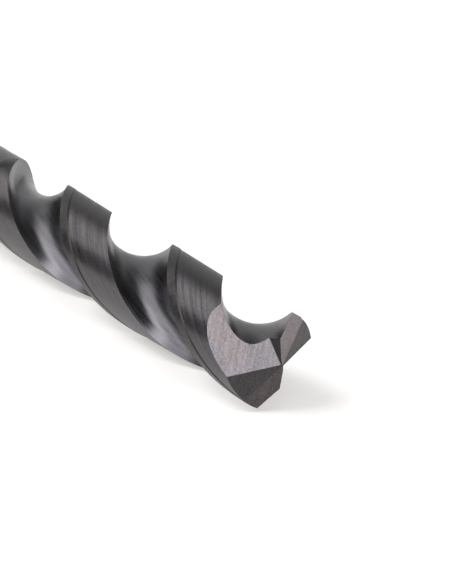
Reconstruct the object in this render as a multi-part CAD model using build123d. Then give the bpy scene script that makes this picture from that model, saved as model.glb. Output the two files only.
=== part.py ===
from build123d import *
import math
import os

# A solid carbide twist drill, ground from one rod: two right-hand flutes, a
# four-facet point whose web is thinned by two gashes, and a plain round shank.
#
# Sizes are in millimetres and angles in degrees. The drill is made standing, with
# the centre of its point at the origin and its body below, and is laid along X last.
#
# A cross-section is drawn in "lip axes": X points outward along the first cutting
# lip, and Y points ahead of that lip, the way it cuts.

# Blank: the body tapers back from the point by a few hundredths, up to the shank
DIAMETER = 6.0
BACK_TAPER = 0.04
OVERALL_LENGTH = 82.0
SHANK_DIAMETER = 6.0
SHANK_LENGTH = 36.0
SHANK_CHAMFER = 0.4

# Flutes: each is a lip-side arc that touches the core, then a tighter heel-side arc
# that runs out straight to the heel
HELIX_ANGLE = 30.0
CORE_DIAMETER = 2.1
CORE_CONTACT_ANGLE = 77.0
HEEL_BLEND_ANGLE = 4.2
HEEL_ARC_RADIUS = 1.62
HEEL_ARC_SWEEP = 45.6
FLUTE_LENGTH = 44.0
RUN_OUT_LENGTH = 6.5

# Lands: a full-size margin behind each lip, then a back that steps down a little and
# falls away towards the heel
MARGIN_ANGLE = 12.6
LAND_ANGLE = 80.6
MARGIN_STEP = 0.045
HEEL_DROP = 0.165
CLEARANCE_LENGTH = 42.0
CLEARANCE_FADE_LENGTH = 3.0

# Point: a primary and a secondary facet behind each lip
LIP_OFFSET = 1.035
POINT_ANGLE = 138.0
PRIMARY_RELIEF = 6.0
SECONDARY_POINT_ANGLE = 137.0
SECONDARY_RELIEF = 25.5

# Gash: a floor that slopes down across the heel of the other land, and a face that
# carries the lip on to the thinned web
GASH_FLOOR_TILT = 62.4
GASH_FLOOR_TURN = 77.6
GASH_FLOOR_OFFSET = 0.042
GASH_START_RADIUS = 1.515
GASH_RAKE = 2.0
GASH_CORNER_RADIUS = 0.12
WEB_AT_POINT = 0.16

# How the drill lies: the direction of the cross-section that faces up
UP_ANGLE = 42.8

# Grinding tools: how finely the flutes are stepped, and how far tools reach past
# the drill
STATION_SPACING = 0.85
TOOL_TOP = 1.0
TOOL_REACH = 3.45
MOUTH_REACH = 4.14
MOUTH_ANGLE = 70.0
HEEL_LINE_LENGTH = 1.26
LIP_ARC_SWEEP = 35.0
HEEL_OVERCUT_ANGLE = 12.0
BLOCK_SIZE = 30.0

RADIUS = DIAMETER / 2
CORE_RADIUS = CORE_DIAMETER / 2
LEAD = math.pi * DIAMETER / math.tan(math.radians(HELIX_ANGLE))
CORNER_ANGLE = math.degrees(math.asin(LIP_OFFSET / RADIUS))
BREAKOUT_RADIUS = 1.04 * RADIUS


def polar(radius, angle):
    """A point of a cross-section."""
    return Vector(radius, 0).rotate(Axis.Z, angle)


def slope(angle):
    """Rise over run at an angle from the level."""
    return math.tan(math.radians(angle))


def facet_normal(point_angle, relief):
    """The upward normal of a point facet behind the first lip."""
    return Vector(slope(90 - point_angle / 2), -slope(relief), 1)


CORNER = polar(RADIUS, CORNER_ANGLE)
CORNER_HEIGHT = -CORNER.dot(facet_normal(POINT_ANGLE, PRIMARY_RELIEF))


def on_helix(section, height):
    """A cross-section set at a height and turned along the helix of the flutes."""
    turn = 360 * (height - CORNER_HEIGHT) / LEAD
    return Pos(0, 0, height) * Rot(0, 0, turn) * section


def stations(bottom):
    """Evenly spaced heights from above the point down to bottom."""
    count = math.ceil((TOOL_TOP - bottom) / STATION_SPACING)
    step = (TOOL_TOP - bottom) / count
    return [TOOL_TOP - step * index for index in range(count + 1)]


def fade_at(height, bottom, length):
    """How far a tool has left the work: 0 above the fade, then rising to 1 at bottom."""
    progress = max(0.0, (bottom + length - height) / length)
    return progress**2


def flute_section():
    """The open space of one flute, closed by an arc outside the drill."""
    core_direction = polar(1, CORE_CONTACT_ANGLE)
    reach = CORNER.dot(core_direction)
    lip_radius = (RADIUS**2 + CORE_RADIUS**2 - 2 * CORE_RADIUS * reach) / (2 * (reach - CORE_RADIUS))
    lip_centre = core_direction * (CORE_RADIUS + lip_radius)
    blend_angle = CORE_CONTACT_ANGLE + 180 - HEEL_BLEND_ANGLE
    lip_arc = CenterArc(lip_centre, lip_radius, blend_angle, LIP_ARC_SWEEP)
    heel_centre = lip_centre + polar(lip_radius - HEEL_ARC_RADIUS, blend_angle)
    heel_arc = CenterArc(heel_centre, HEEL_ARC_RADIUS, blend_angle, -HEEL_ARC_SWEEP)
    heel_line = PolarLine(heel_arc @ 1, HEEL_LINE_LENGTH, direction=heel_arc % 1)
    mouth = ThreePointArc(heel_line @ 1, polar(MOUTH_REACH, MOUTH_ANGLE), lip_arc @ 1)
    return make_face([lip_arc, heel_arc, heel_line, mouth])


def flute():
    """One flute, whose section climbs out of the blank over the run-out."""
    section = flute_section()
    full_lift = BREAKOUT_RADIUS - CORE_RADIUS
    layers = []
    for height in stations(-FLUTE_LENGTH):
        lift = full_lift * fade_at(height, -FLUTE_LENGTH, RUN_OUT_LENGTH)
        lifted = Pos(polar(lift, CORE_CONTACT_ANGLE)) * section
        layers.append(on_helix(lifted, height))
    return loft(layers)


def clearance_section(lift):
    """The sliver between the falling back of a land and an arc outside the blank."""
    start = CORNER_ANGLE - MARGIN_ANGLE
    back_angle = MARGIN_ANGLE - LAND_ANGLE
    sweep = back_angle - HEEL_OVERCUT_ANGLE
    fall = (HEEL_DROP - MARGIN_STEP) * sweep / back_angle
    front_radius = RADIUS - MARGIN_STEP + lift
    middle = polar(front_radius - fall / 2, start + sweep / 2)
    inner = ThreePointArc(polar(front_radius, start), middle, polar(front_radius - fall, start + sweep))
    outer = CenterArc((0, 0), TOOL_REACH, start, sweep)
    return make_face([inner, outer, Line(inner @ 0, outer @ 0), Line(inner @ 1, outer @ 1)])


def clearance():
    """The relief behind one margin, which fades out near the end of the flutes."""
    full_lift = HEEL_DROP + BREAKOUT_RADIUS - RADIUS
    layers = []
    for height in stations(-CLEARANCE_LENGTH):
        lift = full_lift * fade_at(height, -CLEARANCE_LENGTH, CLEARANCE_FADE_LENGTH)
        layers.append(on_helix(clearance_section(lift), height))
    return loft(layers)


def beyond(point, normal):
    """A block that fills the space on one side of a plane."""
    face = Plane(origin=point, z_dir=normal)
    return face * Pos(0, 0, BLOCK_SIZE / 2) * Box(BLOCK_SIZE, BLOCK_SIZE, BLOCK_SIZE)


def gash():
    """The wedge between the floor and the face of one gash, with a rounded corner."""
    floor_normal = Vector(0, 0, 1).rotate(Axis.Y, GASH_FLOOR_TILT).rotate(Axis.Z, GASH_FLOOR_TURN)
    above_floor = beyond(floor_normal * GASH_FLOOR_OFFSET, floor_normal)
    half_web = WEB_AT_POINT / 2
    start_angle = math.degrees(math.asin(LIP_OFFSET / GASH_START_RADIUS))
    face_angle = start_angle - math.degrees(math.asin(half_web / GASH_START_RADIUS))
    ahead = polar(1, face_angle + 90)
    ahead_of_face = beyond(ahead * half_web, ahead - Vector(0, 0, slope(GASH_RAKE)))
    wedge = above_floor & ahead_of_face
    valley = wedge.edges().sort_by_distance((0, 0, 0))[0]
    return fillet(valley, GASH_CORNER_RADIUS)


def blank():
    """The rod that the drill is ground from: a body with back taper on a chamfered shank."""
    on_end = (Align.CENTER, Align.CENTER, Align.MIN)
    body_length = OVERALL_LENGTH - SHANK_LENGTH
    body = Pos(0, 0, -body_length) * Cone(RADIUS - BACK_TAPER / 2, RADIUS, body_length, align=on_end)
    shank = Pos(0, 0, -OVERALL_LENGTH) * Cylinder(SHANK_DIAMETER / 2, SHANK_LENGTH, align=on_end)
    return body + chamfer(shank.edges().sort_by(Axis.Z)[0], SHANK_CHAMFER)


def standing_drill():
    """The ground drill, with the centre of its point at the origin."""
    primary = beyond((0, 0, 0), facet_normal(POINT_ANGLE, PRIMARY_RELIEF))
    secondary = beyond((0, 0, 0), facet_normal(SECONDARY_POINT_ANGLE, SECONDARY_RELIEF))
    shape = blank()
    for cut in (flute(), clearance(), primary, secondary, gash()):
        shape = shape - cut - Rot(0, 0, 180) * cut
    return shape


drill = Pos(OVERALL_LENGTH / 2, 0, RADIUS) * Rot(0, 90, 0) * Rot(0, 0, 180 - UP_ANGLE) * standing_drill()

os.makedirs("parts", exist_ok=True)
export_step(drill, "parts/drill_bit.step")
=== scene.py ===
import logging
import math
from dataclasses import dataclass, field
from enum import Enum, IntEnum
from typing import Any

import bmesh
import bpy
import numpy as np
from mathutils import Matrix, Vector

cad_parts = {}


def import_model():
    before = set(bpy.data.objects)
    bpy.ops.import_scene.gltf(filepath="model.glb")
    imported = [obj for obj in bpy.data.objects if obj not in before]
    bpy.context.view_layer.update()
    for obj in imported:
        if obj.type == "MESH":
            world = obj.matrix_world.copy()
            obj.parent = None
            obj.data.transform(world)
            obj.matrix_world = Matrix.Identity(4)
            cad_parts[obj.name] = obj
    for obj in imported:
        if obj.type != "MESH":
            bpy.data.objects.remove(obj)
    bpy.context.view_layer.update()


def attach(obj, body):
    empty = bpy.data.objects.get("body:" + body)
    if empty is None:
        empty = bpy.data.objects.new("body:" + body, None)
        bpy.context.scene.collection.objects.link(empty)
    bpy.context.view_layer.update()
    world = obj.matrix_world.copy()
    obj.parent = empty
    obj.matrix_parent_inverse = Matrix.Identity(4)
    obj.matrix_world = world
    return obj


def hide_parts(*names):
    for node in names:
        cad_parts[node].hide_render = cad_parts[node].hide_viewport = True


LOG = logging.getLogger("twist_drill")
Span = tuple[float, float]
Triple = tuple[float, float, float]
MM = 0.001

# Millimetres: points this close are one point, and an edge this short is dropped
SAME_PLACE = 1e-5
SLIVER = 1e-6


class Ground(IntEnum):
    """The ground surfaces of the drill, in the order of its material slots.

    STEP is the narrow slope from a margin down to the back of its land.
    """

    LAND = 0
    MARGIN = 1
    FLUTE = 2
    SHANK = 3
    END = 4
    PRIMARY_FACET = 5
    SECONDARY_FACET = 6
    GASH_FLOOR = 7
    GASH_FACE = 8
    STEP = 9


def polar(radius: float, angle: float) -> np.ndarray:
    """A point of a cross-section, from its radius and its angle in degrees."""
    return radius * np.array([math.cos(math.radians(angle)), math.sin(math.radians(angle))])


def slope(angle: float) -> float:
    """Rise over run at an angle in degrees from the level."""
    return math.tan(math.radians(angle))


def arc(centre: np.ndarray, radius: float, start: float, sweep: float, count: int) -> np.ndarray:
    """Points along an arc.

    Args:
        centre: the arc's centre.
        radius: its radius.
        start: the angle of its first point, in degrees.
        sweep: how far it turns, in degrees.
        count: how many points it gets.

    Returns:
        The points, one to a row.
    """
    angles = np.radians(np.linspace(start, start + sweep, count))
    return centre + radius * np.column_stack([np.cos(angles), np.sin(angles)])


@dataclass
class FluteProfile:
    """The open curve of one flute in the cross-section, in millimetres and degrees.

    X points outward along the first cutting lip, and Y points ahead of that lip, the way it cuts.
    """

    radius: float = 3.0
    core_radius: float = 1.05
    contact_angle: float = 77.0
    heel_blend_angle: float = 4.2
    heel_arc_radius: float = 1.62
    heel_arc_sweep: float = 45.6
    heel_line_length: float = 1.26
    lip_arc_sweep: float = 35.0
    lip_offset: float = 1.035
    samples: int = 1200

    @property
    def corner_angle(self) -> float:
        """The angle of the drill's outer corner, in degrees."""
        return math.degrees(math.asin(self.lip_offset / self.radius))

    def curve(self) -> np.ndarray:
        """The flute's wall, from outside the lip, round the core, to outside the heel.

        Returns:
            The wall's points, one to a row.
        """
        toward_core = polar(1, self.contact_angle)
        reach = float(polar(self.radius, self.corner_angle) @ toward_core)
        core = self.core_radius
        lip_radius = (self.radius**2 + core**2 - 2 * core * reach) / (2 * (reach - core))
        lip_centre = toward_core * (core + lip_radius)
        blend_angle = self.contact_angle + 180 - self.heel_blend_angle
        lip_start = blend_angle + self.lip_arc_sweep
        lip = arc(lip_centre, lip_radius, lip_start, -self.lip_arc_sweep, self.samples)
        heel_centre = lip_centre + polar(lip_radius - self.heel_arc_radius, blend_angle)
        heel_sweep = -self.heel_arc_sweep
        heel = arc(heel_centre, self.heel_arc_radius, blend_angle, heel_sweep, self.samples)
        direction = (heel[-1] - heel[-2]) / np.linalg.norm(heel[-1] - heel[-2])
        steps = np.linspace(0, self.heel_line_length, self.samples)[1:, None]
        return np.vstack([lip, heel[1:], heel[-1] + steps * direction])


@dataclass
class DrillForm:
    """The drill's sizes in millimetres and degrees, and the methods that model it.

    It is modelled standing, with the centre of its point at the origin. The step run is the
    angle that the slope behind a margin takes up. A grinding wheel that climbs out has left the
    blank at the breakout share of its radius. The body is skinned in rows from its top, above
    the point, and the gash wedges reach out past it.
    """

    flute: FluteProfile = field(default_factory=FluteProfile)
    radius: float = 3.0
    back_taper: float = 0.02
    overall_length: float = 82.0
    shank_length: float = 36.0
    shank_radius: float = 3.0
    shank_chamfer: float = 0.4
    helix_angle: float = 30.0
    flute_length: float = 44.0
    run_out_length: float = 6.5
    margin_angle: float = 12.6
    land_angle: float = 80.6
    margin_step: float = 0.045
    heel_drop: float = 0.165
    step_run: float = 2.4
    clearance_length: float = 42.0
    clearance_fade: float = 3.0
    point_angle: float = 138.0
    primary_relief: float = 6.0
    secondary_point_angle: float = 137.0
    secondary_relief: float = 25.5
    gash_tilt: float = 62.4
    gash_turn: float = 77.6
    gash_offset: float = 0.042
    gash_start_radius: float = 1.515
    gash_rake: float = 2.0
    gash_corner_radius: float = 0.12
    web: float = 0.16
    up_angle: float = 42.8
    breakout_share: float = 1.04
    row_spacing: float = 0.25
    top: float = 0.4
    land_columns: int = 26
    margin_columns: int = 16
    flute_columns: int = 60
    gash_corner_steps: int = 8
    reach: float = 12.0

    @property
    def lead(self) -> float:
        """The length of one full turn of the flutes."""
        return 2 * math.pi * self.radius / slope(self.helix_angle)

    @property
    def breakout(self) -> float:
        """The radius at which a tool that climbs out of the blank has left it."""
        return self.breakout_share * self.radius

    @property
    def body_length(self) -> float:
        """The length in front of the shank."""
        return self.overall_length - self.shank_length

    @property
    def step_angle(self) -> float:
        """Where the first margin ends and its step begins."""
        return self.flute.corner_angle - self.margin_angle

    def facet_normal(self, point_angle: float, relief: float) -> Vector:
        """The upward normal of a point facet behind the first lip."""
        return Vector((slope(90 - point_angle / 2), -slope(relief), 1))

    @property
    def corner_height(self) -> float:
        """The height of the drill's outer corner.

        Returns:
            The height, which is below the point's centre and so negative.
        """
        corner = polar(self.radius, self.flute.corner_angle)
        normal = self.facet_normal(self.point_angle, self.primary_relief)
        return -(corner[0] * normal.x + corner[1] * normal.y)

    @staticmethod
    def fade_at(height: float, length: float, fade: float) -> float:
        """How far a tool has left the work at a height, from 0 before its fade and rising in it."""
        return max(0.0, (fade - length - height) / fade) ** 2

    def back_radius(self, angles: np.ndarray, height: float, blank: float) -> np.ndarray:
        """The radius of a land behind its margin, which falls away evenly towards the heel.

        Args:
            angles: where on the first land, in degrees.
            height: the height of the cross-section.
            blank: the blank's radius there.

        Returns:
            The radius at each angle.
        """
        fall = (self.heel_drop - self.margin_step) / (self.land_angle - self.margin_angle)
        full_lift = self.heel_drop + self.breakout - self.radius
        lift = full_lift * self.fade_at(height, self.clearance_length, self.clearance_fade)
        front = self.radius - self.margin_step + lift
        return np.minimum(blank, front - fall * (self.step_angle - angles))

    def open_flute(self, height: float, wall: np.ndarray, blank: float) -> np.ndarray:
        """The part of a flute's wall that lies inside the drill at a height.

        Args:
            height: the height of the cross-section.
            wall: the flute's wall where the flute is at full depth.
            blank: the blank's radius there.

        Returns:
            Evenly spaced points from the lip to the heel.
        """
        climb = self.fade_at(height, self.flute_length, self.run_out_length)
        lift = min((self.breakout - self.flute.core_radius) * climb, blank - self.flute.core_radius)
        moved = wall + lift * polar(1, self.flute.contact_angle)
        radii = np.hypot(moved[:, 0], moved[:, 1])
        low = int(radii.argmin())
        past_heel = np.degrees(np.arctan2(-moved[:, 1], -moved[:, 0]))
        standing_out = radii - self.back_radius(past_heel, height, blank)
        standing_out[:low] = radii[:low] - blank
        inward, lip_side = -standing_out[: low + 1], moved[: low + 1]
        outward, heel_side = standing_out[low:], moved[low:]
        lip = np.array([np.interp(0, inward, lip_side[:, axis]) for axis in (0, 1)])
        heel = np.array([np.interp(0, outward, heel_side[:, axis]) for axis in (0, 1)])
        line = np.vstack([lip, moved[standing_out < 0], heel])
        travel = np.concatenate([[0], np.cumsum(np.hypot(*np.diff(line, axis=0).T))])
        marks = np.linspace(0, travel[-1], self.flute_columns + 1)
        return np.column_stack([np.interp(marks, travel, line[:, axis]) for axis in (0, 1)])

    def half_section(self, height: float, wall: np.ndarray) -> np.ndarray:
        """One land and one flute of the cross-section at a height, before the helix turns it.

        Args:
            height: the height of the cross-section.
            wall: the flute's wall where the flute is at full depth.

        Returns:
            The points of the land, the margin and the flute in order.
        """
        blank = self.radius + self.back_taper * min(height, 0.0) / self.body_length
        flute = self.open_flute(height, wall, blank)
        heel_angle = math.degrees(math.atan2(-flute[-1, 1], -flute[-1, 0]))
        lip_angle = math.degrees(math.atan2(flute[0, 1], flute[0, 0]))
        angles = np.linspace(heel_angle, self.step_angle - self.step_run, self.land_columns + 1)
        radii = self.back_radius(angles, height, blank)[:, None]
        land = radii * np.column_stack([np.cos(np.radians(angles)), np.sin(np.radians(angles))])
        margin_sweep = lip_angle - self.step_angle
        margin = arc(np.zeros(2), blank, self.step_angle, margin_sweep, self.margin_columns + 1)
        return np.vstack([land, margin[:-1], flute[:-1]])

    def surfaces(self) -> list[Ground]:
        """The surface that starts at each point of a fluted ring.

        Returns:
            The surfaces of both halves in order.
        """
        land = [Ground.LAND] * self.land_columns + [Ground.STEP]
        margin = [Ground.MARGIN] * self.margin_columns
        return 2 * (land + margin + [Ground.FLUTE] * self.flute_columns)

    def rows(self) -> list[np.ndarray]:
        """The rings of points that skin the whole drill, from above the point to the shank's end.

        Returns:
            The rings, each with its points one to a row.
        """
        wall = self.flute.curve()
        count = math.ceil((self.top + self.body_length) / self.row_spacing)
        rings = []
        for height in np.linspace(self.top, -self.body_length, count + 1):
            half = self.half_section(height, wall)
            turn = 2 * math.pi * (height - self.corner_height) / self.lead
            cosine, sine = math.cos(turn), math.sin(turn)
            turned = half @ np.array([[cosine, sine], [-sine, cosine]])
            ring = np.vstack([turned, -turned])
            rings.append(np.column_stack([ring, np.full(len(ring), height)]))
        outward = rings[-1][:, :2] / np.hypot(rings[-1][:, 0], rings[-1][:, 1])[:, None]
        end = -self.overall_length
        for radius, height in (
            (self.shank_radius, -self.body_length),
            (self.shank_radius, end + self.shank_chamfer),
            (self.shank_radius - self.shank_chamfer, end),
        ):
            rings.append(np.column_stack([outward * radius, np.full(len(outward), height)]))
        return rings

    def surface_at(self, surface: Ground, height: float) -> Ground:
        """The surface at a height, since past its own end each one becomes the round of the shank.

        Args:
            surface: the surface near the point.
            height: the height.

        Returns:
            The surface itself, or the shank's.
        """
        relief_end = self.clearance_fade / 2 - self.clearance_length
        end = -self.flute_length if surface is Ground.FLUTE else relief_end
        return Ground.SHANK if height < end else surface

    def body(self) -> bmesh.types.BMesh:
        """The fluted body on its shank, closed by a flat cap above the point.

        Returns:
            The closed mesh, standing, in millimetres.
        """
        rings = self.rows()
        surfaces = self.surfaces()
        mesh = bmesh.new()
        grid = [[mesh.verts.new(point) for point in ring] for ring in rings]
        around = len(surfaces)
        chamfer_row = len(grid) - 2
        for row in range(len(grid) - 1):
            upper, lower = grid[row], grid[row + 1]
            for column in range(around):
                follow = (column + 1) % around
                quad = (upper[column], lower[column], lower[follow], upper[follow])
                face = mesh.faces.new(quad)
                face.smooth = True
                face.material_index = self.surface_at(surfaces[column], rings[row][0][2])
                if row == chamfer_row:
                    face.material_index = Ground.END
        mesh.faces.new(grid[0])
        end = mesh.faces.new(reversed(grid[-1]))
        end.material_index = Ground.END
        bmesh.ops.remove_doubles(mesh, verts=mesh.verts, dist=SAME_PLACE)
        bmesh.ops.dissolve_degenerate(mesh, dist=SLIVER, edges=mesh.edges)
        return mesh

    def grind_facets(self, mesh: bmesh.types.BMesh) -> None:
        """Cuts the four facets of the point, each with its own surface.

        Args:
            mesh: the standing body, which is cut in place.
        """
        facets = (
            (Ground.PRIMARY_FACET, self.facet_normal(self.point_angle, self.primary_relief)),
            (
                Ground.SECONDARY_FACET,
                self.facet_normal(self.secondary_point_angle, self.secondary_relief),
            ),
        )
        for surface, normal in facets:
            for side in (1, -1):
                facing = Vector((normal.x * side, normal.y * side, normal.z))
                cut = bmesh.ops.bisect_plane(
                    mesh,
                    geom=mesh.verts[:] + mesh.edges[:] + mesh.faces[:],
                    dist=SAME_PLACE,
                    plane_co=(0, 0, 0),
                    plane_no=facing,
                    clear_outer=True,
                )
                rim = [item for item in cut["geom_cut"] if isinstance(item, bmesh.types.BMEdge)]
                for face in bmesh.ops.holes_fill(mesh, edges=rim)["faces"]:
                    face.material_index = surface
                    face.smooth = False

    def gash_outline(self) -> tuple[list[Vector], Vector]:
        """The cross-section of the wedge that the first gash removes, with its corner rounded.

        Returns:
            The outline's points, from the floor round the corner to the face, and the direction
            of the valley between them, along which the wedge runs.
        """
        tilt = Matrix.Rotation(math.radians(self.gash_tilt), 3, "Y")
        turn = Matrix.Rotation(math.radians(self.gash_turn), 3, "Z")
        floor_normal = turn @ tilt @ Vector((0, 0, 1))
        half_web = self.web / 2
        lip_angle = math.degrees(math.asin(self.flute.lip_offset / self.gash_start_radius))
        face_angle = lip_angle - math.degrees(math.asin(half_web / self.gash_start_radius))
        ahead = Vector((*polar(1, face_angle + 90), 0))
        face_normal = ahead - Vector((0, 0, slope(self.gash_rake)))
        valley = floor_normal.cross(face_normal).normalized()
        planes = Matrix((floor_normal, face_normal, valley))
        foot = planes.inverted() @ Vector((self.gash_offset, half_web, 0))
        on_floor = valley.cross(floor_normal).normalized()
        on_floor *= math.copysign(1, on_floor.dot(face_normal))
        on_face = valley.cross(face_normal).normalized()
        on_face *= math.copysign(1, on_face.dot(floor_normal))
        opening = on_floor.angle(on_face)
        middle = (on_floor + on_face).normalized()
        centre = foot + middle * self.gash_corner_radius / math.sin(opening / 2)
        first = (foot + on_floor * self.gash_corner_radius / math.tan(opening / 2)) - centre
        steps = self.gash_corner_steps
        swing = (math.pi - opening) / steps
        turned = Matrix.Rotation(swing, 3, valley) @ first
        if turned.dot(middle) > first.dot(middle):
            swing = -swing
        outline = [foot + on_floor * self.reach]
        turns = [Matrix.Rotation(swing * step, 3, valley) for step in range(steps + 1)]
        outline += [centre + turn @ first for turn in turns]
        outline += [foot + on_face * self.reach, foot + (on_face + on_floor) * self.reach]
        return outline, valley

    def gash_tool(self, side: int) -> bmesh.types.BMesh:
        """The wedge that one gash removes.

        Args:
            side: 1 for the first lip's gash, -1 for the other.

        Returns:
            The wedge as a closed mesh.
        """
        outline, valley = self.gash_outline()
        mesh = bmesh.new()
        near = [mesh.verts.new(point - valley * self.reach) for point in outline]
        far = [mesh.verts.new(point + valley * self.reach) for point in outline]
        for index in range(len(outline)):
            follow = (index + 1) % len(outline)
            wall = mesh.faces.new((near[index], near[follow], far[follow], far[index]))
            wall.material_index = Ground.GASH_FLOOR if index == 0 else Ground.GASH_FACE
            wall.smooth = 0 < index <= self.gash_corner_steps
        mesh.faces.new(near)
        mesh.faces.new(far)
        bmesh.ops.recalc_face_normals(mesh, faces=mesh.faces)
        if side < 0:
            bmesh.ops.rotate(mesh, matrix=Matrix.Rotation(math.pi, 3, "Z"), verts=mesh.verts)
        return mesh


def linked_object(name: str, mesh: bmesh.types.BMesh) -> bpy.types.Object:
    """Turns a mesh under construction into an object of the scene.

    Args:
        name: the object's name.
        mesh: the mesh, which is freed.

    Returns:
        The new object.
    """
    data = bpy.data.meshes.new(name)
    mesh.to_mesh(data)
    mesh.free()
    made = bpy.data.objects.new(name, data)
    bpy.context.scene.collection.objects.link(made)
    return made


@dataclass
class TwistDrill:
    """The drill as one ground piece, lying along X with its point at the positive end.

    Faces that meet at more than the crease angle, in degrees, keep a sharp edge.
    """

    form: DrillForm = field(default_factory=DrillForm)
    name: str = "twist_drill"
    crease_angle: float = 14.0

    def ground_piece(self) -> bpy.types.Object:
        """Models the drill standing, cuts both gashes, and lays it down in metres.

        Returns:
            The finished drill.
        """
        body = self.form.body()
        self.form.grind_facets(body)
        piece = linked_object(self.name, body)
        tools = [linked_object(f"gash_tool_{side}", self.form.gash_tool(side)) for side in (1, -1)]
        for surface in Ground:
            for item in (piece, *tools):
                item.data.materials.append(bpy.data.materials.get(surface.name.lower()))
        for tool in tools:
            cut = piece.modifiers.new("gash", "BOOLEAN")
            cut.operation = "DIFFERENCE"
            cut.solver = "EXACT"
            cut.material_mode = "INDEX"
            cut.object = tool
        bpy.context.view_layer.update()
        evaluated = piece.evaluated_get(bpy.context.evaluated_depsgraph_get())
        result = bpy.data.meshes.new_from_object(evaluated)
        piece.modifiers.clear()
        piece.data = result
        for tool in tools:
            bpy.data.objects.remove(tool)
        self.crease(result)
        self.lay_down(result)
        return piece

    def crease(self, data: bpy.types.Mesh) -> None:
        """Marks the ground edges as sharp, so that shading doesn't run round them.

        Args:
            data: the drill's mesh, which is marked in place.
        """
        mesh = bmesh.new()
        mesh.from_mesh(data)
        for edge in mesh.edges:
            edge.smooth = edge.calc_face_angle(0.0) < math.radians(self.crease_angle)
        mesh.to_mesh(data)
        mesh.free()

    def lay_down(self, data: bpy.types.Mesh) -> None:
        """Turns the standing drill to how it lies, and changes millimetres to metres.

        Args:
            data: the drill's mesh, which is moved in place.
        """
        form = self.form
        lying = (
            Matrix.Scale(MM, 4)
            @ Matrix.Translation((form.overall_length / 2, 0, form.radius))
            @ Matrix.Rotation(math.pi / 2, 4, "Y")
            @ Matrix.Rotation(math.radians(180 - form.up_angle), 4, "Z")
        )
        data.transform(lying)
        data.name = self.name


@dataclass
class Wiring:
    """Adds nodes to one tree and links them."""

    tree: bpy.types.NodeTree

    def feed(self, socket: bpy.types.NodeSocket, value: Any) -> None:
        """Gives an input socket a value, or links another node's output to it.

        Args:
            socket: the input socket.
            value: the value, or the output socket to link.
        """
        if isinstance(value, bpy.types.NodeSocket):
            self.tree.links.new(value, socket)
        else:
            socket.default_value = value

    def node(
        self, kind: str, inputs: dict[Any, Any] | None = None, **settings: Any
    ) -> bpy.types.Node:
        """Adds a node.

        Args:
            kind: the node's type name.
            inputs: what each input socket gets, a value or another node's output.
            settings: the node's own properties.

        Returns:
            The new node.
        """
        made = self.tree.nodes.new(kind)
        for name, value in settings.items():
            setattr(made, name, value)
        for socket, value in (inputs or {}).items():
            self.feed(made.inputs[socket], value)
        return made

    def group(self, name: str, inputs: dict[str, Any] | None = None) -> Any:
        """Places a shader group and gives back its outputs.

        Args:
            name: the group's name.
            inputs: what each of its input sockets gets.

        Returns:
            The group node's output sockets.
        """
        made = self.node("ShaderNodeGroup", node_tree=bpy.data.node_groups[name])
        for socket, value in (inputs or {}).items():
            self.feed(made.inputs[socket], value)
        return made.outputs

    def maths(self, operation: str, *values: Any) -> bpy.types.NodeSocket:
        """The result of a Math node on these values."""
        return self.node("ShaderNodeMath", dict(enumerate(values)), operation=operation).outputs[0]

    def vectors(self, operation: str, *values: Any) -> bpy.types.NodeSocket:
        """The vector that a Vector Math node gives for these values."""
        made = self.node("ShaderNodeVectorMath", dict(enumerate(values)), operation=operation)
        return made.outputs["Vector"]

    def spread(self, value: Any, source: Span, target: Span = (0.0, 1.0)) -> bpy.types.NodeSocket:
        """A value moved from one range to another and held inside it.

        Args:
            value: the value, or the output socket that gives it.
            source: the two ends of the range it comes from.
            target: what those two ends become.

        Returns:
            The moved value.
        """
        inputs = {
            "Value": value,
            "From Min": source[0],
            "From Max": source[1],
            "To Min": target[0],
            "To Max": target[1],
        }
        return self.node("ShaderNodeMapRange", inputs, clamp=True).outputs["Result"]

    def blend(self, factor: Any, first: Any, second: Any) -> bpy.types.NodeSocket:
        """The colour between two others.

        Args:
            factor: 0 where the first colour shows, and 1 where the second one does.
            first: the first colour.
            second: the second colour.

        Returns:
            The mixed colour.
        """
        made = self.node("ShaderNodeMix", data_type="RGBA")
        given = {"Factor": factor, "A": first, "B": second}
        for socket in made.inputs:
            if socket.enabled and socket.name in given:
                self.feed(socket, given[socket.name])
        return next(socket for socket in made.outputs if socket.enabled)

    def noise(
        self, place: Any, scale: Any, detail: float, roughness: float = 0.5
    ) -> bpy.types.NodeSocket:
        """A cloudy value from 0 to 1."""
        inputs = {"Vector": place, "Scale": scale, "Detail": detail, "Roughness": roughness}
        return self.node("ShaderNodeTexNoise", inputs).outputs[0]


def opened_group(
    name: str, inputs: dict[str, str], outputs: dict[str, str]
) -> tuple[Wiring, Any, Any]:
    """Makes a shader group with its sockets.

    Args:
        name: the group's name.
        inputs: each input's name and kind, such as Float or Vector.
        outputs: each output's name and kind.

    Returns:
        The group's wiring, the outputs of its input node, and the inputs of its output node.
    """
    tree = bpy.data.node_groups.new(name, "ShaderNodeTree")
    for socket, kind in inputs.items():
        tree.interface.new_socket(socket, in_out="INPUT", socket_type=f"NodeSocket{kind}")
    for socket, kind in outputs.items():
        tree.interface.new_socket(socket, in_out="OUTPUT", socket_type=f"NodeSocket{kind}")
    wiring = Wiring(tree)
    return wiring, wiring.node("NodeGroupInput").outputs, wiring.node("NodeGroupOutput").inputs


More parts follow.
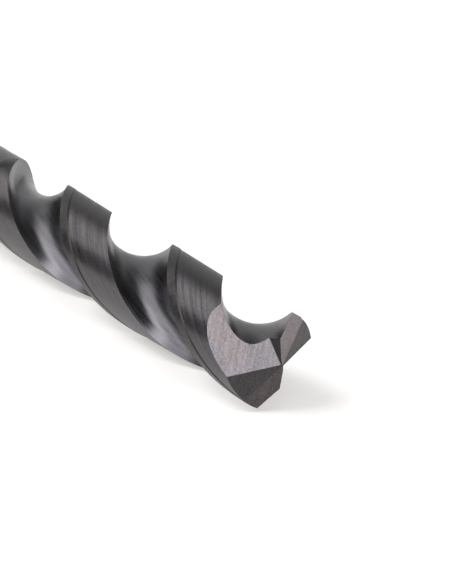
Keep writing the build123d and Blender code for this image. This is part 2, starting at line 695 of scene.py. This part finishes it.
@dataclass(frozen=True)
class SharedEffects:
    """The shader groups that the ground finishes share.

    The lead and the height of the drill's axis are in millimetres. Each range says which part of
    a noise or of an angle's cosine a mask spreads over.
    """

    lead: float
    axis_height: float
    wide_stretch: float = 0.3
    wide_share: float = 0.6
    fine_share: float = 0.4
    tone_range: Span = (0.75, 1.25)
    cloud_range: Span = (0.3, 0.7)
    speckle_range: Span = (0.35, 0.65)
    edge_range: Span = (0.998, 0.9)
    # Speckle breaks up the brighter edge colour, which is partly rubbed wear and partly a painted
    # highlight.
    wear_glint_range: Span = (0.5, 1.0)
    edge_samples: int = 8

    def helix_place(self) -> None:
        """Makes the group for the place on the drill in millimetres, plain and helix unwound."""
        wiring, _, out = opened_group("helix_place", {}, {"Plain": "Vector", "Unwound": "Vector"})
        place = wiring.node("ShaderNodeTexCoord").outputs["Object"]
        along = wiring.node("ShaderNodeSeparateXYZ", {0: place}).outputs["X"]
        turn = wiring.maths("MULTIPLY", along, -2 * math.pi / (self.lead * MM))
        unwound = wiring.node(
            "ShaderNodeVectorRotate",
            {"Vector": place, "Center": (0, 0, self.axis_height * MM), "Angle": turn},
            rotation_type="X_AXIS",
        ).outputs["Vector"]
        millimetres = (1 / MM, 1 / MM, 1 / MM)
        wiring.feed(out["Plain"], wiring.vectors("MULTIPLY", place, millimetres))
        wiring.feed(out["Unwound"], wiring.vectors("MULTIPLY", unwound, millimetres))

    def grinding_lines(self) -> None:
        """Makes the group for a wheel's fine scratches, with some wide and deep ones among them."""
        wiring, given, out = opened_group(
            "grinding_lines",
            {"Place": "Vector", "Density": "Vector"},
            {"Height": "Float", "Tone": "Float"},
        )
        place = wiring.vectors("MULTIPLY", given["Place"], given["Density"])
        fine = wiring.noise(place, scale=1.0, detail=2.0, roughness=0.6)
        wide_place = wiring.vectors("MULTIPLY", place, (self.wide_stretch,) * 3)
        wide = wiring.noise(wide_place, scale=1.0, detail=1.0)
        shallow = wiring.maths("MULTIPLY", fine, self.fine_share)
        wiring.feed(out["Height"], wiring.maths("MULTIPLY_ADD", wide, self.wide_share, shallow))
        wiring.feed(out["Tone"], wiring.spread(wiring.maths("ADD", fine, wide), self.tone_range))

    def coating(self) -> None:
        """Makes the group for the hard coating's cloudy tint and its fine droplets."""
        wiring, given, out = opened_group(
            "coating",
            {"Place": "Vector", "Cloud Size": "Float", "Speckle Size": "Float"},
            {"Cloud": "Float", "Speckle": "Float"},
        )
        clouds = wiring.maths("DIVIDE", 1.0, given["Cloud Size"])
        cloud = wiring.noise(given["Place"], clouds, detail=3.0)
        droplets = wiring.maths("DIVIDE", 1.0, given["Speckle Size"])
        speckle = wiring.noise(given["Place"], droplets, detail=2.0, roughness=0.7)
        wiring.feed(out["Cloud"], wiring.spread(cloud, self.cloud_range))
        wiring.feed(out["Speckle"], wiring.spread(speckle, self.speckle_range))

    def edge_wear_and_glint(self) -> None:
        """Makes the group for edges: a mask that is 1 where their colour is brightened, partly
        rubbed wear and partly a painted highlight, and their rounded normal.
        """
        wiring, given, out = opened_group(
            "edge_wear_and_glint",
            {"Width": "Float", "Speckle": "Float"},
            {"Edge": "Float", "Normal": "Vector"},
        )
        width = {"Radius": given["Width"]}
        rounded = wiring.node("ShaderNodeBevel", width, samples=self.edge_samples).outputs["Normal"]
        plain = wiring.node("ShaderNodeNewGeometry").outputs["Normal"]
        same = wiring.node("ShaderNodeVectorMath", {0: rounded, 1: plain}, operation="DOT_PRODUCT")
        edge = wiring.spread(same.outputs["Value"], self.edge_range)
        broken = wiring.spread(given["Speckle"], (0.0, 1.0), self.wear_glint_range)
        wiring.feed(out["Edge"], wiring.maths("MULTIPLY", edge, broken))
        wiring.feed(out["Normal"], rounded)

    def make(self) -> None:
        """Makes every group once."""
        self.helix_place()
        self.grinding_lines()
        self.coating()
        self.edge_wear_and_glint()


class Lines(Enum):
    """How a surface's grinding lines run: round the drill, along its helix, or straight."""

    ROUND = "round"
    HELIX = "helix"
    STRAIGHT = "straight"


@dataclass(frozen=True)
class GroundFinish:
    """One ground and coated surface: its tint, its gloss and the marks its wheel left.

    Lengths are in millimetres: the pitch across the lines, their length and their depth. A
    straight surface names the direction its lines run in and the direction it faces. Each
    contrast says how far its marks darken and lighten the surface, each gloss how much rougher
    they make it, and the edge glint tone how far the edges turn to the brighter edge colour, which
    is partly rubbed wear and partly a painted highlight.
    """

    surface: Ground
    lines: Lines
    warm: Triple
    cool: Triple
    roughness: float
    pitch: float
    length: float
    depth: float
    line_contrast: float = 0.15
    speckle_contrast: float = 0.1
    speckle_depth: float = 0.3
    speckle_size: float = 0.08
    cloud_size: float = 1.2
    run: Triple = (0.0, 1.0, 0.0)
    facing: Triple = (0.0, 0.0, 1.0)
    line_gloss: float = 0.08
    speckle_gloss: float = 0.06
    gloss_offset: float = 0.07
    edge_width: float = 0.02
    # Brighter edge colour per channel: partly rubbed wear, partly a painted highlight on the edges.
    edge_glint_gain: Triple = (3.0, 2.5, 2.3)
    edge_glint_tone: float = 0.5
    anisotropy: float = 0.0
    spread_turn: float = 0.0

    def line_density(self) -> Triple:
        """How many scratches there are to a millimetre along each axis of their place.

        Returns:
            The three densities.
        """
        across, along = 1 / self.pitch, 1 / self.length
        if self.lines is Lines.HELIX:
            return (along, across, across)
        return (across, along, along)

    def line_turn(self) -> Triple:
        """The turn that brings straight lines to run along Y.

        Returns:
            The turn about each axis, in radians.
        """
        facing = Vector(self.facing).normalized()
        run = (Vector(self.run) - facing * facing.dot(Vector(self.run))).normalized()
        return tuple(Matrix((run.cross(facing), run, facing)).to_euler())

    def line_place(self, wiring: Wiring, place: Any) -> bpy.types.NodeSocket:
        """The place in which the lines run along one axis.

        Args:
            wiring: the material's wiring.
            place: the outputs of its helix_place group.

        Returns:
            The place as a vector.
        """
        if self.lines is Lines.HELIX:
            return place["Unwound"]
        if self.lines is Lines.ROUND:
            return place["Plain"]
        inputs = {"Vector": place["Plain"], "Rotation": self.line_turn()}
        return wiring.node("ShaderNodeMapping", inputs).outputs[0]

    def make(self) -> None:
        """Makes the finish as a material named after its surface."""
        material = bpy.data.materials.new(self.surface.name.lower())
        material.use_nodes = True
        material.node_tree.nodes.clear()
        wiring = Wiring(material.node_tree)
        place = wiring.group("helix_place")
        density = {"Place": self.line_place(wiring, place), "Density": self.line_density()}
        lines = wiring.group("grinding_lines", density)
        sizes = {"Cloud Size": self.cloud_size, "Speckle Size": self.speckle_size}
        coating = wiring.group("coating", {"Place": place["Plain"], **sizes})
        width = {"Width": self.edge_width * MM}
        edge_glint_outputs = wiring.group("edge_wear_and_glint", {**width, "Speckle": coating["Speckle"]})
        tint = wiring.blend(coating["Cloud"], (*self.warm, 1), (*self.cool, 1))
        lined = (2 * self.line_contrast, 1 - self.line_contrast)
        tone = wiring.maths("MULTIPLY_ADD", lines["Tone"], *lined)
        flecks = (-self.speckle_contrast, self.speckle_contrast)
        tone = wiring.maths("ADD", tone, wiring.spread(coating["Speckle"], (0.0, 1.0), flecks))
        shade = wiring.node("ShaderNodeVectorMath", {0: tint, "Scale": tone}, operation="SCALE")
        # The brighter edge colour is partly rubbed wear and partly a painted highlight where the
        # edges catch the light.
        wear_glint_colour = [min(1.0, part * gain) for part, gain in zip(self.warm, self.edge_glint_gain)]
        wear_glint_share = wiring.maths("MULTIPLY", edge_glint_outputs["Edge"], self.edge_glint_tone)
        colour = wiring.blend(wear_glint_share, shade.outputs["Vector"], (*wear_glint_colour, 1))
        smoothest = self.roughness - self.gloss_offset
        rough = wiring.maths("MULTIPLY_ADD", lines["Tone"], self.line_gloss, smoothest)
        rough = wiring.maths("MULTIPLY_ADD", coating["Speckle"], self.speckle_gloss, rough)
        marks = (coating["Speckle"], self.speckle_depth, lines["Height"])
        height = wiring.maths("MULTIPLY_ADD", *marks)
        relief = {"Distance": self.depth * MM, "Height": height, "Normal": edge_glint_outputs["Normal"]}
        bump = wiring.node("ShaderNodeBump", relief)
        shader = wiring.node(
            "ShaderNodeBsdfPrincipled",
            {"Base Color": colour, "Metallic": 1.0, "Roughness": rough, "Normal": bump.outputs[0]},
        )
        if self.anisotropy:
            around = wiring.node("ShaderNodeTangent", direction_type="RADIAL", axis="X")
            wiring.feed(shader.inputs["Tangent"], around.outputs[0])
            shader.inputs["Anisotropic"].default_value = self.anisotropy
            shader.inputs["Anisotropic Rotation"].default_value = self.spread_turn
        wiring.node("ShaderNodeOutputMaterial", {"Surface": shader.outputs[0]})


SHANK_WARM = (0.086, 0.081, 0.084)
SHANK_COOL = (0.092, 0.086, 0.093)
FACET_RUN = (0.2, 0.3, 0.9)
FINISHES = (
    GroundFinish(
        Ground.LAND,
        Lines.HELIX,
        warm=(0.081, 0.076, 0.073),
        cool=(0.084, 0.077, 0.089),
        roughness=0.33,
        pitch=0.07,
        length=3.0,
        depth=0.0022,
        line_contrast=0.3,
        speckle_contrast=0.25,
        edge_glint_tone=0.2,
        anisotropy=0.75,
        spread_turn=0.25,
    ),
    GroundFinish(
        Ground.MARGIN,
        Lines.ROUND,
        warm=(0.058, 0.052, 0.048),
        cool=(0.049, 0.045, 0.047),
        roughness=0.38,
        pitch=0.10,
        length=0.30,
        depth=0.0018,
        line_contrast=0.25,
        speckle_contrast=0.6,
        edge_glint_tone=0.15,
    ),
    # The step wall's tint is darker than the margin's and its edges get no brighter colour: painted
    # shade that hides the light the wall reflects.
    GroundFinish(
        Ground.STEP,
        Lines.HELIX,
        warm=(0.048, 0.044, 0.042),
        cool=(0.044, 0.041, 0.042),
        roughness=0.45,
        pitch=0.07,
        length=3.0,
        depth=0.0010,
        edge_glint_tone=0.0,
    ),
    GroundFinish(
        Ground.FLUTE,
        Lines.HELIX,
        warm=(0.089, 0.085, 0.089),
        cool=(0.092, 0.089, 0.102),
        roughness=0.32,
        pitch=0.16,
        length=6.0,
        depth=0.0010,
        line_contrast=0.2,
        speckle_contrast=0.08,
        anisotropy=0.5,
    ),
    GroundFinish(
        Ground.SHANK,
        Lines.ROUND,
        warm=SHANK_WARM,
        cool=SHANK_COOL,
        roughness=0.30,
        pitch=0.07,
        length=1.2,
        depth=0.0008,
    ),
    GroundFinish(
        Ground.END,
        Lines.STRAIGHT,
        warm=SHANK_WARM,
        cool=SHANK_COOL,
        roughness=0.34,
        pitch=0.12,
        length=1.4,
        depth=0.0014,
        run=(0.0, 1.0, 0.0),
        facing=(-1.0, 0.0, 0.0),
    ),
    GroundFinish(
        Ground.PRIMARY_FACET,
        Lines.STRAIGHT,
        warm=(0.090, 0.077, 0.078),
        cool=(0.078, 0.070, 0.077),
        roughness=0.34,
        pitch=0.07,
        length=0.6,
        depth=0.0014,
        run=FACET_RUN,
        facing=(1.0, 0.0, 0.0),
        speckle_contrast=0.25,
    ),
    GroundFinish(
        Ground.SECONDARY_FACET,
        Lines.STRAIGHT,
        warm=(0.071, 0.064, 0.063),
        cool=(0.063, 0.059, 0.062),
        roughness=0.34,
        pitch=0.07,
        length=0.6,
        depth=0.0014,
        run=FACET_RUN,
        facing=(1.0, 0.0, 0.0),
        speckle_contrast=0.25,
    ),
    GroundFinish(
        Ground.GASH_FLOOR,
        Lines.STRAIGHT,
        warm=(0.114, 0.099, 0.100),
        cool=(0.100, 0.094, 0.106),
        roughness=0.36,
        pitch=0.055,
        length=1.0,
        depth=0.0016,
        run=(-0.496, 0.392, 0.583),
        facing=(0.46, -0.51, 0.73),
        line_contrast=0.3,
        speckle_contrast=0.4,
        speckle_depth=0.6,
    ),
    GroundFinish(
        Ground.GASH_FACE,
        Lines.STRAIGHT,
        warm=(0.101, 0.092, 0.094),
        cool=(0.094, 0.088, 0.094),
        roughness=0.32,
        pitch=0.08,
        length=0.5,
        depth=0.0012,
        run=(1.0, 0.0, 0.0),
        facing=(0.0, -1.0, 0.0),
    ),
)


@dataclass(frozen=True)
class Softbox:
    """A flat studio light that faces the drill.

    The bearing is in degrees from +X towards +Y, the rise in degrees above the floor, and sizes
    and distance in metres. The glow is how bright its face looks.
    """

    name: str
    bearing: float
    rise: float
    width: float
    height: float
    glow: float
    distance: float = 0.7

    def place(self, aim: Vector) -> None:
        """Sets the light up so that it faces a point.

        Args:
            aim: the point.
        """
        data = bpy.data.lights.new(self.name, "AREA")
        data.shape = "RECTANGLE"
        data.size = self.width
        data.size_y = self.height
        data.energy = math.pi * self.width * self.height * self.glow
        light = bpy.data.objects.new(self.name, data)
        level = math.cos(math.radians(self.rise))
        away = Vector((*polar(level, self.bearing), math.sin(math.radians(self.rise))))
        light.location = aim + away * self.distance
        light.rotation_euler = away.to_track_quat("Z", "Y").to_euler()
        bpy.context.scene.collection.objects.link(light)


@dataclass(frozen=True)
class Studio:
    """The pale floor, the soft lights, the world round them and the camera."""

    aim: Triple = (0.02, 0.0, 0.003)
    floor_size: float = 3.0
    floor_tint: Triple = (0.58, 0.587, 0.594)
    lift_tint: Triple = (1.0, 0.96, 0.92)
    floor_lift: float = 0.47
    world_glow: float = 0.04
    camera_place: Triple = (0.1934, -0.0799, 0.0597)
    camera_right: Triple = (0.4472, 0.8944, 0.0)
    camera_up: Triple = (-0.2597, 0.1299, 0.9569)
    camera_lens: float = 191.04
    film_width: float = 36.0
    nearest: float = 0.01
    farthest: float = 20.0
    lights: tuple[Softbox, ...] = (
        Softbox("key", bearing=-108.0, rise=63.0, width=0.36, height=0.26, glow=3.7),
        Softbox("canopy", bearing=-121.0, rise=48.0, width=0.9, height=0.6, glow=2.7),
        Softbox("low_front", bearing=-106.0, rise=21.0, width=0.62, height=0.26, glow=1.3),
        Softbox("side", bearing=60.0, rise=8.0, width=0.25, height=0.2, glow=5.0),
        Softbox("wide_side", bearing=55.0, rise=18.0, width=0.9, height=0.4, glow=2.6),
        Softbox("back", bearing=160.0, rise=18.0, width=0.65, height=0.42, glow=0.55),
        Softbox("far_left", bearing=-170.0, rise=32.0, width=0.35, height=0.3, glow=0.3),
        Softbox("right_top", bearing=15.0, rise=67.0, width=0.6, height=0.45, glow=2.0),
    )

    def lay_floor(self) -> None:
        """Makes the floor, which looks white directly and in reflections and keeps its shadow."""
        half = self.floor_size / 2
        mesh = bmesh.new()
        sides = ((-1, -1), (1, -1), (1, 1), (-1, 1))
        mesh.faces.new([mesh.verts.new((x * half, y * half, 0)) for x, y in sides])
        floor = linked_object("floor", mesh)
        material = bpy.data.materials.new("pale_floor")
        material.use_nodes = True
        material.node_tree.nodes.clear()
        wiring = Wiring(material.node_tree)
        path = wiring.node("ShaderNodeLightPath").outputs
        seen = wiring.maths("MAXIMUM", path["Is Camera Ray"], path["Is Glossy Ray"])
        seen = wiring.maths("MAXIMUM", seen, path["Is Transmission Ray"])
        sheet = wiring.node("ShaderNodeBsdfDiffuse", {"Color": (*self.floor_tint, 1)})
        glow = wiring.maths("MULTIPLY", seen, self.floor_lift)
        lift = wiring.node("ShaderNodeEmission", {"Color": (*self.lift_tint, 1), "Strength": glow})
        both = wiring.node("ShaderNodeAddShader", {0: sheet.outputs[0], 1: lift.outputs[0]})
        wiring.node("ShaderNodeOutputMaterial", {"Surface": both.outputs[0]})
        floor.data.materials.append(material)

    def fill_world(self) -> None:
        """Gives the room its low, even light."""
        world = bpy.data.worlds.new("studio_room")
        world.use_nodes = True
        background = world.node_tree.nodes["Background"]
        background.inputs["Color"].default_value = (1, 1, 1, 1)
        background.inputs["Strength"].default_value = self.world_glow
        bpy.context.scene.world = world

    def place_camera(self) -> None:
        """Sets the camera in front of the point, looking back along the drill from above."""
        data = bpy.data.cameras.new("camera")
        data.lens = self.camera_lens
        data.sensor_width = self.film_width
        data.clip_start = self.nearest
        data.clip_end = self.farthest
        camera = bpy.data.objects.new("camera", data)
        right = Vector(self.camera_right).normalized()
        up = Vector(self.camera_up).normalized()
        place = Matrix((right, up, right.cross(up))).transposed().to_4x4()
        place.translation = Vector(self.camera_place)
        camera.matrix_world = place
        bpy.context.scene.collection.objects.link(camera)
        bpy.context.scene.camera = camera

    def build(self) -> None:
        """Builds the studio."""
        self.lay_floor()
        for light in self.lights:
            light.place(Vector(self.aim))
        self.fill_world()
        self.place_camera()
        bpy.context.scene.view_settings.view_transform = "Standard"


def main() -> None:
    """Builds the drill and its studio in order."""
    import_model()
    form = DrillForm()
    SharedEffects(form.lead, form.radius).make()
    for finish in FINISHES:
        finish.make()
    drill = TwistDrill(form).ground_piece()
    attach(drill, "root")
    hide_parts("drill_bit")
    LOG.info("%s: %d faces", drill.name, len(drill.data.polygons))
    Studio().build()


if __name__ == "__main__":
    logging.basicConfig(level=logging.INFO, format="%(name)s: %(message)s")
    main()
